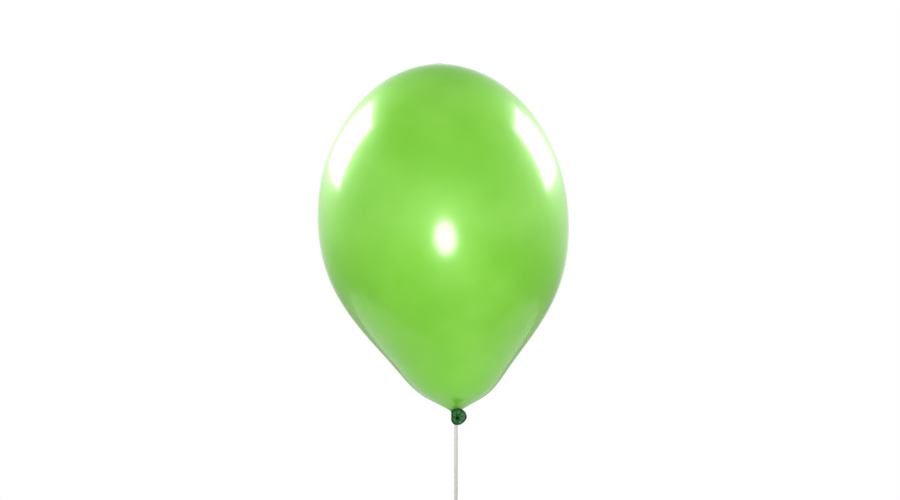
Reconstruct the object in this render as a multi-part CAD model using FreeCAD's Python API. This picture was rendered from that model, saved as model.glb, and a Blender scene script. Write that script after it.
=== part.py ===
import FreeCAD, Part
import math
import os

# A knotted, gas-filled latex party balloon on its ribbon, in millimetres, +Z up.
# The origin is the middle of the gathered throat, just above the knot, where the
# balloon is held and about which it leans. The mouth faces -Y.

# Envelope: the inflated latex skin
DIAMETER = 300.0            # widest ring, the balloon's nominal size
HEIGHT = 415.0              # throat to crown, along the balloon's own axis
LEAN = 2.5                  # degrees from plumb, crown towards -X
WALL = 0.3                  # thickness given to the stretched film
CONE_ANGLE = 28.0           # degrees that the skin rises as it leaves the throat
# Outline from the throat over the shoulder, straight flank and widest ring to the
# crown, as shares of the radius and of the height
OUTLINE = [
    (0.037, 0.0016), (0.150, 0.0235), (0.265, 0.0480), (0.445, 0.1200),
    (0.690, 0.2300), (0.905, 0.3600), (1.000, 0.5500), (0.926, 0.7180),
    (0.742, 0.8480), (0.395, 0.9620), (0.000, 1.0000),
]

# Neck: the latex bunched in the throat, which turns like a ball in a socket
NECK_RADIUS = 4.2

# Knot: one coil of the neck wrapped round its own core
KNOT_TOP = -4.9             # height of the core's top face, clear of the neck
KNOT_COIL_RADIUS = 3.4      # middle of the coil
KNOT_COIL_THICKNESS = 5.2
KNOT_CORE_RADIUS = 2.8

# Stem: the unstretched neck that comes forward out of the knot
STEM_HEIGHT = -6.4          # height of the stem's axis
STEM_YAW = 13.0             # degrees that the stem turns towards +X from -Y
STEM_RADIUS = 2.4
STEM_BALL_RADIUS = 3.0      # its thick front end, about which the tail bends
STEM_START = 3.4            # distances in front of the knot's middle
STEM_BALL_PLACE = 13.2

# Tail: the flared mouth, with the rolled lip round it
TAIL_WALL = 0.5
TAIL_ROOT_RADIUS = 3.2      # inside, round the stem's front end
TAIL_ROOT_PLACE = 13.5
MOUTH_PLACE = 19.8
LIP_RADIUS = 8.7            # middle of the rolled rim
LIP_THICKNESS = 2.8

# Ribbon: flat curling ribbon, tied round the stem behind the mouth
RIBBON_WIDTH = 4.8
RIBBON_THICKNESS = 0.4
TIE_PLACE = 8.6             # distance of the turns in front of the knot's middle
TIE_LENGTH = 2.8            # the turns bunched side by side
TIE_THICKNESS = 0.9
FIT_GAP = 0.1               # between the turns and the stem that they grip
TIE_KNOT_RADIUS = 1.7
TIE_KNOT_LENGTH = 4.4
TIE_KNOT_OFFSET = -0.8      # sideways from under the stem
RUN_SETBACK = 0.4           # the run hangs behind the middle of the tie's knot
RUN_GAP = 0.25              # and swings clear of it
TAG_ADVANCE = 0.4           # and the cut end leaves the turns in front of theirs
TAG_LENGTH = 7.0
TAG_ANGLE = 70.0            # degrees from straight down, towards +X
RUN_END = -118.0            # height where the straight run meets the hand loop
LOOP_KNOT_RADIUS = 2.6
LOOP_KNOT_LENGTH = 6.0
LOOP_LENGTH = 62.0
LOOP_WIDTH = 40.0

X_AXIS = FreeCAD.Vector(1, 0, 0)
Y_AXIS = FreeCAD.Vector(0, 1, 0)
Z_AXIS = FreeCAD.Vector(0, 0, 1)
ORIGIN = FreeCAD.Vector(0, 0, 0)


def vec(x, y, z):
    return FreeCAD.Vector(x, y, z)


def stem_frame(place, side=0.0, rise=0.0):
    """Point at a distance along the stem from the knot's middle, moved sideways and up."""
    yaw = math.radians(STEM_YAW)
    return vec(
        place * math.sin(yaw) + side * math.cos(yaw),
        side * math.sin(yaw) - place * math.cos(yaw),
        STEM_HEIGHT + rise,
    )


STEM_AXIS = (stem_frame(1.0) - stem_frame(0.0)).normalize()
SIDE_AXIS = (stem_frame(0.0, side=1.0) - stem_frame(0.0)).normalize()


def along_stem(shape):
    """Move a shape made round +Z at the origin to the stem's axis."""
    turned = shape.copy()
    turned.Placement = FreeCAD.Placement(
        stem_frame(0.0), FreeCAD.Rotation(Z_AXIS, STEM_AXIS)
    ).multiply(turned.Placement)
    return turned


def curve_through(points, first_way, last_way):
    """Smooth curve through the points, which leaves and arrives the given ways."""
    curve = Part.BSplineCurve()
    curve.interpolate(
        Points=points,
        InitialTangent=vec(*first_way).normalize(),
        FinalTangent=vec(*last_way).normalize(),
        Scale=False,
    )
    return curve


def revolved(edges):
    """Solid turned from a closed outline in the XZ plane."""
    face = Part.Face(Part.Wire(edges))
    return face.revolve(ORIGIN, Z_AXIS, 360)


def capsule(radius, length):
    """Rounded lump round +Z, centred on the origin."""
    straight = length / 2 - radius
    body = Part.makeCylinder(radius, 2 * straight, vec(0, 0, -straight))
    for end in (-straight, straight):
        body = body.fuse(Part.makeSphere(radius, vec(0, 0, end)))
    return body.removeSplitter()


def make_envelope():
    cone = math.radians(CONE_ANGLE)
    rise = vec(math.cos(cone), 0, math.sin(cone))
    points = [vec(r * DIAMETER / 2, 0, z * HEIGHT) for r, z in OUTLINE]
    outer = curve_through(points, rise, vec(-1, 0, 0))
    inner_points = []
    for point in points:
        tangent = outer.tangent(outer.parameter(point))[0]
        inner_points.append(point + vec(-tangent.z, 0, tangent.x) * WALL)
    inner = curve_through(inner_points, rise, vec(-1, 0, 0))
    skin = revolved([
        outer.toShape(),
        Part.makeLine(points[-1], inner_points[-1]),
        inner.toShape(),
        Part.makeLine(inner_points[0], points[0]),
    ])
    skin.rotate(ORIGIN, Y_AXIS, -LEAN)
    return skin


def make_neck():
    return Part.makeSphere(NECK_RADIUS)


def make_knot():
    coil_radius = KNOT_COIL_THICKNESS / 2
    coil_height = KNOT_TOP - 0.3 - coil_radius
    coil = Part.makeTorus(KNOT_COIL_RADIUS, coil_radius, vec(0, 0, coil_height))
    core_length = KNOT_COIL_THICKNESS + 1.0
    core = Part.makeCylinder(KNOT_CORE_RADIUS, core_length, vec(0, 0, KNOT_TOP - core_length))
    return coil.fuse(core).removeSplitter()


def make_stem(knot):
    rod = Part.makeCylinder(STEM_RADIUS, STEM_BALL_PLACE - STEM_START, vec(0, 0, STEM_START))
    ball = Part.makeSphere(STEM_BALL_RADIUS, vec(0, 0, STEM_BALL_PLACE))
    return along_stem(rod.fuse(ball)).cut(knot).removeSplitter()


def make_lip():
    return along_stem(Part.makeTorus(LIP_RADIUS, LIP_THICKNESS / 2, vec(0, 0, MOUTH_PLACE)))


def make_tail(lip):
    """Trumpet from the stem's front end to the lip, opening faster towards the mouth."""
    flare = vec(0.9, 0, 1)
    root = vec(TAIL_ROOT_RADIUS, 0, TAIL_ROOT_PLACE)
    rim = vec(LIP_RADIUS - TAIL_WALL / 2, 0, MOUTH_PLACE)
    wall = vec(TAIL_WALL, 0, 0)
    inner = curve_through([root, rim], Z_AXIS, flare).toShape()
    outer = curve_through([root + wall, rim + wall], Z_AXIS, flare).toShape()
    trumpet = revolved([
        inner,
        Part.makeLine(rim, rim + wall),
        outer,
        Part.makeLine(root + wall, root),
    ])
    return along_stem(trumpet).cut(lip)


def make_ribbon_turns():
    inner_radius = STEM_RADIUS + FIT_GAP
    start = vec(0, 0, TIE_PLACE - TIE_LENGTH / 2)
    sleeve = Part.makeCylinder(inner_radius + TIE_THICKNESS, TIE_LENGTH, start)
    hole = Part.makeCylinder(inner_radius, TIE_LENGTH, start)
    return along_stem(sleeve.cut(hole))


def tie_knot_centre():
    drop = STEM_RADIUS + FIT_GAP + TIE_THICKNESS + TIE_KNOT_RADIUS - 0.3
    return stem_frame(TIE_PLACE, side=TIE_KNOT_OFFSET, rise=-drop)


def make_ribbon_knot(turns):
    lump = capsule(TIE_KNOT_RADIUS, TIE_KNOT_LENGTH)
    lump.Placement = FreeCAD.Placement(tie_knot_centre(), FreeCAD.Rotation(Z_AXIS, SIDE_AXIS))
    return lump.cut(turns)


def strip(length):
    """Flat length of ribbon hanging from the origin, its broad side facing -Y."""
    corner = vec(-RIBBON_WIDTH / 2, -RIBBON_THICKNESS / 2, -length)
    return Part.makeBox(RIBBON_WIDTH, RIBBON_THICKNESS, length, corner)


def facing_stem(shape, place):
    """Turn a shape that faces -Y to face along the stem, and move it to a point."""
    turned = shape.copy()
    turned.rotate(ORIGIN, Z_AXIS, STEM_YAW)
    turned.translate(place)
    return turned


def make_ribbon_tag(turns):
    """Cut end that stands out radially from the turns."""
    gripped_radius = STEM_RADIUS + FIT_GAP + TIE_THICKNESS / 2
    tag = strip(TAG_LENGTH)
    tag.translate(vec(0, 0, -gripped_radius))
    tag.rotate(ORIGIN, Y_AXIS, -TAG_ANGLE)
    return facing_stem(tag, stem_frame(TIE_PLACE + TAG_ADVANCE)).cut(turns)


def run_top():
    """Top of the run, just clear of the tie's knot."""
    drop = TIE_KNOT_RADIUS + RUN_GAP
    return tie_knot_centre() - STEM_AXIS * RUN_SETBACK - vec(0, 0, drop)


def loop_knot_centre():
    top = run_top()
    return vec(top.x, top.y, RUN_END)


def make_ribbon_run(loop_knot):
    top = run_top()
    return facing_stem(strip(top.z - RUN_END), top).cut(loop_knot)


def make_loop_knot():
    lump = capsule(LOOP_KNOT_RADIUS, LOOP_KNOT_LENGTH)
    lump.rotate(ORIGIN, Y_AXIS, 90)
    return facing_stem(lump, loop_knot_centre())


def make_hand_loop(loop_knot):
    """Drop-shaped loop of ribbon, open towards the mouth's side."""
    widest = vec(LOOP_WIDTH / 2, 0, -0.62 * LOOP_LENGTH)
    middle = curve_through([ORIGIN, widest, vec(0, 0, -LOOP_LENGTH)], vec(0.5, 0, -1), vec(-1, 0, 0))
    half = middle.toShape().extrude(vec(0, RIBBON_WIDTH, 0))
    half.translate(vec(0, -RIBBON_WIDTH / 2, 0))
    half = half.makeOffsetShape(-RIBBON_THICKNESS, 0.01, fill=True)
    loop = half.fuse(half.mirror(ORIGIN, X_AXIS)).removeSplitter()
    return facing_stem(loop, loop_knot_centre()).cut(loop_knot)


def build():
    knot = make_knot()
    lip = make_lip()
    turns = make_ribbon_turns()
    ribbon_knot = make_ribbon_knot(turns)
    loop_knot = make_loop_knot()
    return {
        "envelope": make_envelope(),
        "neck": make_neck(),
        "knot": knot,
        "stem": make_stem(knot),
        "tail": make_tail(lip),
        "lip": lip,
        "ribbon_turns": turns,
        "ribbon_knot": ribbon_knot,
        "ribbon_tag_end": make_ribbon_tag(turns),
        "ribbon": make_ribbon_run(loop_knot),
        "loop_knot": loop_knot,
        "hand_loop": make_hand_loop(loop_knot),
    }


os.makedirs("parts", exist_ok=True)
for node, shape in build().items():
    shape.exportStep("parts/" + node + ".step")
    box = shape.BoundBox
    print(f"{node:15s} {shape.ShapeType:9s} solids {len(shape.Solids)} valid {shape.isValid()}"
          f" volume {shape.Volume:9.1f}"
          f" x {box.XMin:7.1f} {box.XMax:6.1f} y {box.YMin:7.1f} {box.YMax:6.1f}"
          f" z {box.ZMin:7.1f} {box.ZMax:6.1f}")
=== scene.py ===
"""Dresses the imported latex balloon: skin, gathered neck, knot, rolled mouth and tied curling ribbon."""
import logging
import math
from dataclasses import dataclass
from enum import Enum
from typing import Any, Callable, Optional, Sequence, Union

import bpy
import numpy as np
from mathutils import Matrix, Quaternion, Vector


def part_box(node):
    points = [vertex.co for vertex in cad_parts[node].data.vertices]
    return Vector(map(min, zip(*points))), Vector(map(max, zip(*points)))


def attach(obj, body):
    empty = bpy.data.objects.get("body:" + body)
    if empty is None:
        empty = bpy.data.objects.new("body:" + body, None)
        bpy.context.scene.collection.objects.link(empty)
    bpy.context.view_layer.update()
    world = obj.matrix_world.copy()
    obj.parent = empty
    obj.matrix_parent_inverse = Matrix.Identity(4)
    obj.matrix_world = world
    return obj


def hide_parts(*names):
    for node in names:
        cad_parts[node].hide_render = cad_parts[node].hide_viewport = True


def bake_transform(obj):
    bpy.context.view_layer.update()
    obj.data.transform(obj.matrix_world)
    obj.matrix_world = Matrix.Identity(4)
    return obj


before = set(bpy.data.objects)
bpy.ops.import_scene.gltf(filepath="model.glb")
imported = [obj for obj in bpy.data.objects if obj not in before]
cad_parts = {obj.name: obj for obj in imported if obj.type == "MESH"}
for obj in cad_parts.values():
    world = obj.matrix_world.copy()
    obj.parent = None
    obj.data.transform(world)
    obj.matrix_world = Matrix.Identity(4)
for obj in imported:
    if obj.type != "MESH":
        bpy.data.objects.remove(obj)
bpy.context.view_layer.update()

log = logging.getLogger("balloon")

MM = 0.001
FULL_TURN = 2 * math.pi
QUARTER_TURN = math.pi / 2
UP = np.array([0.0, 0.0, 1.0])
RIBS = 11
Array = np.ndarray
Piece = bpy.types.Object
Pair = tuple[float, float]
Point = tuple[float, float, float]
Colour = tuple[float, float, float, float]
WHITE: Colour = (1.0, 1.0, 1.0, 1.0)


class Body(Enum):
    """The rigid bodies that pieces ride on."""

    KNOT = "knot"
    NECK = "neck"
    ENVELOPE = "envelope"
    TAIL = "tail"
    TIE = "tie"
    RIBBON = "ribbon"


class Slot(Enum):
    """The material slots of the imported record."""

    PEARL = "pearl_latex"
    THICK = "neck_latex"
    RIBBON = "curling_ribbon"


class LightShape(Enum):
    """The outlines of a softbox."""

    OBLONG = "RECTANGLE"
    OVAL = "ELLIPSE"


class Operation(Enum):
    """The Math node operations that a Signal uses."""

    ADD = "ADD"
    SUBTRACT = "SUBTRACT"
    MULTIPLY = "MULTIPLY"
    SINE = "SINE"


# ---------------------------------------------------------------- shader maths


def tint(code: str) -> Colour:
    """Linear colour of a screen colour.

    Args:
        code: Six hexadecimal digits, red first.

    Returns:
        Red, green, blue and an alpha of 1, in linear light.
    """
    shares = [int(code[i:i + 2], 16) / 255 for i in (0, 2, 4)]
    red, green, blue = (((s + 0.055) / 1.055) ** 2.4 if s > 0.04045 else s / 12.92 for s in shares)
    return red, green, blue, 1.0


class Signal:
    """A shader socket that can be used in arithmetic."""

    def __init__(self, sheet: "NodeSheet", socket: bpy.types.NodeSocket) -> None:
        """Wrap a socket of the sheet's tree."""
        self.sheet = sheet
        self.socket = socket

    def _math(self, operation: Operation, *operands: Any) -> "Signal":
        """Add a Math node that works on the operands."""
        inputs = dict(enumerate(operands))
        return self.sheet.node("ShaderNodeMath", {"operation": operation.value}, inputs)["Value"]

    def __add__(self, other: Any) -> "Signal":
        """Sum."""
        return self._math(Operation.ADD, self, other)

    def __radd__(self, other: Any) -> "Signal":
        """Sum, the other way round."""
        return self._math(Operation.ADD, other, self)

    def __sub__(self, other: Any) -> "Signal":
        """Difference."""
        return self._math(Operation.SUBTRACT, self, other)

    def __rsub__(self, other: Any) -> "Signal":
        """Difference, the other way round."""
        return self._math(Operation.SUBTRACT, other, self)

    def __mul__(self, other: Any) -> "Signal":
        """Product."""
        return self._math(Operation.MULTIPLY, self, other)

    def __rmul__(self, other: Any) -> "Signal":
        """Product, the other way round."""
        return self._math(Operation.MULTIPLY, other, self)

    def sine(self) -> "Signal":
        """Sine of an angle in radians."""
        return self._math(Operation.SINE, self)

    def within(self, low: float, high: float) -> "Signal":
        """The signal's 0 to 1 turned into low to high."""
        return low + self * (high - low)

    def step(self, low: float, high: float) -> "Signal":
        """Smooth rise from 0 to 1.

        Args:
            low: Value below which the result is 0.
            high: Value above which the result is 1.

        Returns:
            The eased share of the way from low to high.
        """
        settings = {"interpolation_type": "SMOOTHSTEP", "clamp": True}
        return self.sheet.node(
            "ShaderNodeMapRange", settings, {"Value": self, "From Min": low, "From Max": high}
        )["Result"]


class NodeOutputs:
    """The outputs of a node, looked up by name or place."""

    def __init__(self, sheet: "NodeSheet", node: bpy.types.Node) -> None:
        """Keep the node and its sheet."""
        self.sheet = sheet
        self.node = node

    def __getitem__(self, key: Union[str, int]) -> Signal:
        """The named output as a signal."""
        return Signal(self.sheet, self.node.outputs[key])


class NodeSheet:
    """A node tree that finishes are written on."""

    def __init__(self, tree: bpy.types.NodeTree) -> None:
        """Empty the tree and keep it."""
        self.tree = tree
        self.tree.nodes.clear()

    def node(
        self,
        kind: str,
        settings: Optional[dict[str, Any]] = None,
        inputs: Optional[dict[Union[str, int], Any]] = None,
    ) -> NodeOutputs:
        """Add any node.

        Args:
            kind: The node's type name.
            settings: Properties of the node.
            inputs: Values or signals, by the socket's name or place.

        Returns:
            The new node's outputs.
        """
        node = self.tree.nodes.new(kind)
        for name, value in (settings or {}).items():
            setattr(node, name, value)
        for key, value in (inputs or {}).items():
            if isinstance(value, Signal):
                self.tree.links.new(value.socket, node.inputs[key])
            else:
                node.inputs[key].default_value = value
        return NodeOutputs(self, node)

    def mix(self, share: Any, first: Any, second: Any) -> Signal:
        """Mix two colours."""
        inputs = {0: share, 6: first, 7: second}
        return self.node("ShaderNodeMix", {"data_type": "RGBA"}, inputs)[2]

    def place(self) -> Signal:
        """Each point's place in the balloon's own frame."""
        return self.node("ShaderNodeTexCoord")["Object"]

    def distance(self, point: Sequence[float]) -> Signal:
        """How far each point of the surface is from a fixed point, in metres."""
        settings = {"operation": "DISTANCE"}
        return self.node("ShaderNodeVectorMath", settings, {0: self.place(), 1: tuple(point)})["Value"]

    def noise(self, scale: float, detail: float = 2.0, stretch: Sequence[float] = (1, 1, 1)) -> Signal:
        """Soft random variation, about 0.5.

        Args:
            scale: Cells per metre.
            detail: Number of finer layers.
            stretch: Scale along each axis, for grain that runs one way.

        Returns:
            The noise value.
        """
        place = self.node("ShaderNodeMapping", {}, {"Vector": self.place(), "Scale": tuple(stretch)})
        inputs = {"Vector": place["Vector"], "Scale": scale, "Detail": detail}
        return self.node("ShaderNodeTexNoise", {}, inputs)["Fac"]

    def bump(self, height: Signal, distance: float) -> Signal:
        """Normal that follows a height."""
        return self.node("ShaderNodeBump", {}, {"Height": height, "Distance": distance})["Normal"]

    def surface(self, **inputs: Any) -> None:
        """Write the Principled shader; underscores in names stand for spaces."""
        named = {name.replace("_", " "): value for name, value in inputs.items()}
        shader = self.node("ShaderNodeBsdfPrincipled", {}, named)["BSDF"]
        self.node("ShaderNodeOutputMaterial", {}, {"Surface": shader})


def new_sheet(name: str) -> tuple[bpy.types.Material, NodeSheet]:
    """Start a node material and return it with its sheet."""
    material = bpy.data.materials.new(name)
    material.use_nodes = True
    return material, NodeSheet(material.node_tree)


# ---------------------------------------------------------------- finishes


@dataclass(frozen=True)
class PearlLatex:
    """Stretched latex with fine pearl pigment under its own natural gloss, with painted shade over the lower
    cone.
    """

    crown: Point
    body: Colour = tint("76C72C")
    # Deeper green of the thicker latex at the crown; on the lower cone it is partly painted shade.
    thicker_and_shaded: Colour = tint("63BB26")
    throat: Colour = tint("0B5A10")
    pale: Colour = tint("84D140")
    cloud_scale: float = 9.0
    cloud_band: Pair = (0.35, 0.70)
    cloud_relief: float = 2.0
    flake_scale: float = 2600.0
    flake_band: Pair = (0.55, 0.75)
    flake_share: float = 0.10
    relief: float = 0.006 * MM
    crown_band: Pair = (20 * MM, 100 * MM)
    cone_shade_band: Pair = (20 * MM, 120 * MM)
    cone_shade_share: float = 0.5
    throat_band: Pair = (4.5 * MM, 11.5 * MM)
    throat_share: float = 0.9
    sheen: Pair = (0.02, 0.08)
    roughness: Pair = (0.38, 0.44)
    specular: float = 0.30
    coat: Pair = (0.3, 1.0)
    coat_band: Pair = (12 * MM, 55 * MM)
    coat_roughness: float = 0.17
    coat_index: float = 1.52

    def build(self) -> bpy.types.Material:
        """Write the finish and return its material."""
        material, sheet = new_sheet("pearl_latex")
        from_throat = sheet.distance((0, 0, 0))
        near_crown = 1.0 - sheet.distance(self.crown).step(*self.crown_band)
        # Darker over the lower cone: partly painted shade, partly the thicker latex towards the neck.
        on_cone = (1.0 - from_throat.step(*self.cone_shade_band)) * self.cone_shade_share
        in_throat = (1.0 - from_throat.step(*self.throat_band)) * self.throat_share
        cloud = sheet.noise(self.cloud_scale, detail=3.0)
        flake = sheet.noise(self.flake_scale, detail=1.0)
        colour = sheet.mix(cloud.step(*self.cloud_band), self.body, self.pale)
        for share, shade in ((near_crown, self.thicker_and_shaded), (on_cone, self.thicker_and_shaded), (in_throat, self.throat)):
            colour = sheet.mix(share, colour, shade)
        sheet.surface(
            Base_Color=sheet.mix(flake.step(*self.flake_band) * self.flake_share, colour, self.pale),
            Metallic=flake.within(*self.sheen),
            Roughness=cloud.within(*self.roughness),
            Specular_IOR_Level=self.specular,
            Coat_Weight=from_throat.step(*self.coat_band).within(*self.coat),
            Coat_Roughness=self.coat_roughness,
            Coat_IOR=self.coat_index,
            Normal=sheet.bump(flake + cloud * self.cloud_relief, self.relief),
        )
        return material


@dataclass(frozen=True)
class ThickLatex:
    """Unstretched latex of the knot and mouth, dark and finely creased, with painted shade in its creases
    and round a hollow point, and painted light on the ridges of its folds.
    """

    name: str = "neck_latex"
    # Painted shade in the fold creases (dark) and painted light on their ridges (lit).
    dark: Colour = tint("0A4A10")
    lit: Colour = tint("207C27")
    # Painted shade towards a point in a hollow: by default where the knot meets the neck; for the mouth,
    # deep in the funnel's throat.
    hollow: Colour = tint("021C04")
    hollow_shade_point: Point = (0.0, 0.0, 0.0)
    hollow_shade_band: Pair = (1.375 * MM, 5.5 * MM)
    fold_scale: float = 520.0
    fold_stretch: Point = (1.0, 1.0, 0.55)
    fold_shade_band: Pair = (0.36, 0.66)
    grain_scale: float = 3200.0
    grain_relief: float = 0.12
    crease: float = 0.16 * MM
    roughness: Pair = (0.42, 0.56)
    specular: float = 0.28
    gloss: float = 0.3
    gloss_roughness: float = 0.28

    def build(self) -> bpy.types.Material:
        """Write the finish and return its material."""
        material, sheet = new_sheet(self.name)
        folds = sheet.noise(self.fold_scale, detail=3.0, stretch=self.fold_stretch)
        grain = sheet.noise(self.grain_scale)
        # Painted shade in the creases and painted light on the ridges, following the fold noise that also
        # drives the bump.
        colour = sheet.mix(folds.step(*self.fold_shade_band), self.dark, self.lit)
        # Painted shade that deepens towards the hollow point.
        outside = sheet.distance(self.hollow_shade_point).step(*self.hollow_shade_band)
        sheet.surface(
            Base_Color=sheet.mix(outside, self.hollow, colour),
            Roughness=grain.within(*self.roughness),
            Specular_IOR_Level=self.specular,
            Coat_Weight=self.gloss,
            Coat_Roughness=self.gloss_roughness,
            Normal=sheet.bump(folds + grain * self.grain_relief, self.crease),
        )
        return material


@dataclass(frozen=True)
class CurlingRibbon:
    """White film ribbon, pressed with fine lengthwise ribs, with painted shade in the furrows between them.
    """

    shade: Colour = tint("C0C1BC")
    furrow_shade: Colour = tint("AFB0AB")
    ribs: int = RIBS
    rib_share: float = 0.8
    rib_height: float = 0.03 * MM
    fleck_scale: float = 900.0
    fleck_stretch: Point = (1.0, 1.0, 0.12)
    roughness: Pair = (0.30, 0.42)
    gloss: float = 0.3
    gloss_roughness: float = 0.15

    def build(self) -> bpy.types.Material:
        """Write the finish and return its material."""
        material, sheet = new_sheet("curling_ribbon")
        across = sheet.node("ShaderNodeAttribute", {"attribute_name": "across"})["Fac"]
        rib = (across * (FULL_TURN * self.ribs)).sine() * 0.5 + 0.5
        fleck = sheet.noise(self.fleck_scale, stretch=self.fleck_stretch)
        # Painted shade in the furrows between the ribs, mixed with the ribbon's real flecks.
        light = rib * self.rib_share + fleck * (1 - self.rib_share)
        sheet.surface(
            Base_Color=sheet.mix(light, self.furrow_shade, self.shade),
            Roughness=fleck.within(*self.roughness),
            Coat_Weight=self.gloss,
            Coat_Roughness=self.gloss_roughness,
            Normal=sheet.bump(rib, self.rib_height),
        )
        return material


# ---------------------------------------------------------------- mesh tools


def clamped_spline(points: Sequence[Pair], first_way: Pair, last_way: Pair) -> Callable[[Array], Array]:
    """Smooth curve through points, with a set direction at each end.

    Args:
        points: The points that the curve passes through.
        first_way: Direction in which the curve leaves the first point.
        last_way: Direction in which it arrives at the last point.

    Returns:
        A function from shares of the curve, 0 to 1, to points.
    """
    knots = np.array(points, float)
    gaps = np.linalg.norm(np.diff(knots, axis=0), axis=1)
    along = np.concatenate([[0.0], np.cumsum(gaps)])
    count = len(knots)
    matrix, right = np.zeros((count, count)), np.zeros_like(knots)
    matrix[0, 0] = matrix[-1, -1] = 1.0
    right[0] = np.array(first_way, float) / np.linalg.norm(first_way)
    right[-1] = np.array(last_way, float) / np.linalg.norm(last_way)
    slopes = np.diff(knots, axis=0) / gaps[:, None]
    for i in range(1, count - 1):
        before, after = gaps[i - 1], gaps[i]
        matrix[i, i - 1:i + 2] = after, 2 * (before + after), before
        right[i] = 3 * (after * slopes[i - 1] + before * slopes[i])
    ways = np.linalg.solve(matrix, right)

    def curve(shares: Array) -> Array:
        """Points at shares of the curve."""
        place = np.clip(np.asarray(shares, float), 0, 1) * along[-1]
        i = np.clip(np.searchsorted(along, place, side="right") - 1, 0, count - 2)
        gap = gaps[i][:, None]
        t = ((place - along[i])[:, None]) / gap
        start = (1 + 2 * t) * (1 - t) ** 2 * knots[i] + t * (1 - t) ** 2 * gap * ways[i]
        end = t * t * (3 - 2 * t) * knots[i + 1] + t * t * (t - 1) * gap * ways[i + 1]
        return start + end

    return curve


def unit(vectors: Array) -> Array:
    """Vectors of length 1 along the last axis."""
    return vectors / np.linalg.norm(vectors, axis=-1, keepdims=True)


def ring_angles(count: int) -> Array:
    """Evenly spaced angles round a ring."""
    return np.linspace(0, FULL_TURN, count, endpoint=False)


@dataclass(frozen=True)
class Wave:
    """A ripple round a ring."""

    height: float
    lobes: float
    phase: float = 0.0

    def at(self, angle: Any, drift: Any = 0.0) -> Any:
        """Its height at an angle, with its phase moved on by the drift."""
        return self.height * np.cos(self.lobes * angle + self.phase + drift)


@dataclass(frozen=True)
class Hump:
    """A single smooth swelling."""

    height: float
    middle: float
    spread: float

    def at(self, place: Any) -> Any:
        """Its height at a place."""
        return self.height * np.exp(-(((place - self.middle) / self.spread) ** 2))


def together(shapes: Sequence[Union[Wave, Hump]], place: Any) -> Any:
    """Sum of the shapes' heights at a place."""
    return sum(shape.at(place) for shape in shapes)


def twisted(waves: Sequence[Wave], twists: Sequence[float], angle: Any, along: Any) -> Any:
    """Sum of waves that each turn steadily along a piece."""
    return sum(wave.at(angle, twist * along) for wave, twist in zip(waves, twists))


def ways_along(path: Array, loop: bool) -> Array:
    """Direction of a path at each of its points.

    Args:
        path: The points.
        loop: Whether the last point leads on to the first.

    Returns:
        Vectors of length 1.
    """
    ways = np.roll(path, -1, axis=0) - np.roll(path, 1, axis=0)
    if not loop:
        ways[0], ways[-1] = path[1] - path[0], path[-1] - path[-2]
    return unit(ways)


def bands(rows: int, around: int, loop: bool = False, gap: int = -1) -> list[tuple[int, ...]]:
    """Four-sided faces between neighbouring rings.

    Args:
        rows: Number of rings.
        around: Points in each ring.
        loop: Whether the last ring is joined to the first.
        gap: The ring that isn't joined to the next, if any.

    Returns:
        Vertex numbers of each face.
    """
    faces = []
    for i in range(rows if loop else rows - 1):
        here, above = i * around, (i + 1) % rows * around
        if i != gap:
            faces += [(here + j, here + k, above + k, above + j) for j, k in neighbours(around)]
    return faces


def fan(middle: int, first: int, around: int, facing_down: bool = False) -> list[tuple[int, ...]]:
    """Three-sided faces from a ring to the point at its middle."""
    pairs = [(k, j) if facing_down else (j, k) for j, k in neighbours(around)]
    return [(middle, first + a, first + b) for a, b in pairs]


def neighbours(around: int) -> list[tuple[int, int]]:
    """Each place in a ring with the next one."""
    return [(j, (j + 1) % around) for j in range(around)]


def joined(parts: list[Piece]) -> Piece:
    """Join meshes into the first of them, and return it."""
    with bpy.context.temp_override(active_object=parts[0], selected_editable_objects=parts, object=parts[0]):
        bpy.ops.object.join()
    return parts[0]


def piece_from(name: str, points: Array, faces: list[tuple[int, ...]]) -> Piece:
    """New smooth-shaded mesh object.

    Args:
        name: The piece's name.
        points: Places of its vertices, in metres.
        faces: Vertex numbers of each face.

    Returns:
        The object, linked to the scene.
    """
    mesh = bpy.data.meshes.new(name)
    mesh.from_pydata([tuple(p) for p in points], [], faces)
    mesh.validate()
    mesh.polygons.foreach_set("use_smooth", [True] * len(mesh.polygons))
    mesh.update()
    piece = bpy.data.objects.new(name, mesh)
    bpy.context.scene.collection.objects.link(piece)
    return piece


def skin_over_rings(name: str, rings: Array, loop: bool = False) -> Piece:
    """Closed surface over a row of rings.

    Args:
        name: The piece's name.
        rings: Points by ring, then round each ring.
        loop: Join the last ring to the first, where the ends would otherwise be closed.

    Returns:
        The new piece.
    """
    rows, around = rings.shape[:2]
    points = rings.reshape(-1, 3)
    faces = bands(rows, around, loop)
    if not loop:
        points = np.concatenate([points, rings[[0, -1]].mean(axis=1)])
        first, last = rows * around, rows * around + 1
        faces += fan(first, 0, around, facing_down=True) + fan(last, (rows - 1) * around, around)
    return piece_from(name, points, faces)


@dataclass
class Dressing:
    """Where a piece goes and what it is made of."""

    material: bpy.types.Material
    slot: Slot

    def on(self, piece: Piece, *replaced: str) -> Piece:
        """Give a piece its material.

        Args:
            piece: The new piece.
            replaced: The CAD nodes that it stands for.

        Returns:
            The same piece.
        """
        piece.data.materials.clear()
        piece.data.materials.append(self.material)
        if replaced:
            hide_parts(*replaced)
        log.info("%s: %d faces, for %s", piece.name, len(piece.data.polygons), replaced or "no node")
        return piece


# ---------------------------------------------------------------- the balloon's skin


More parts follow.
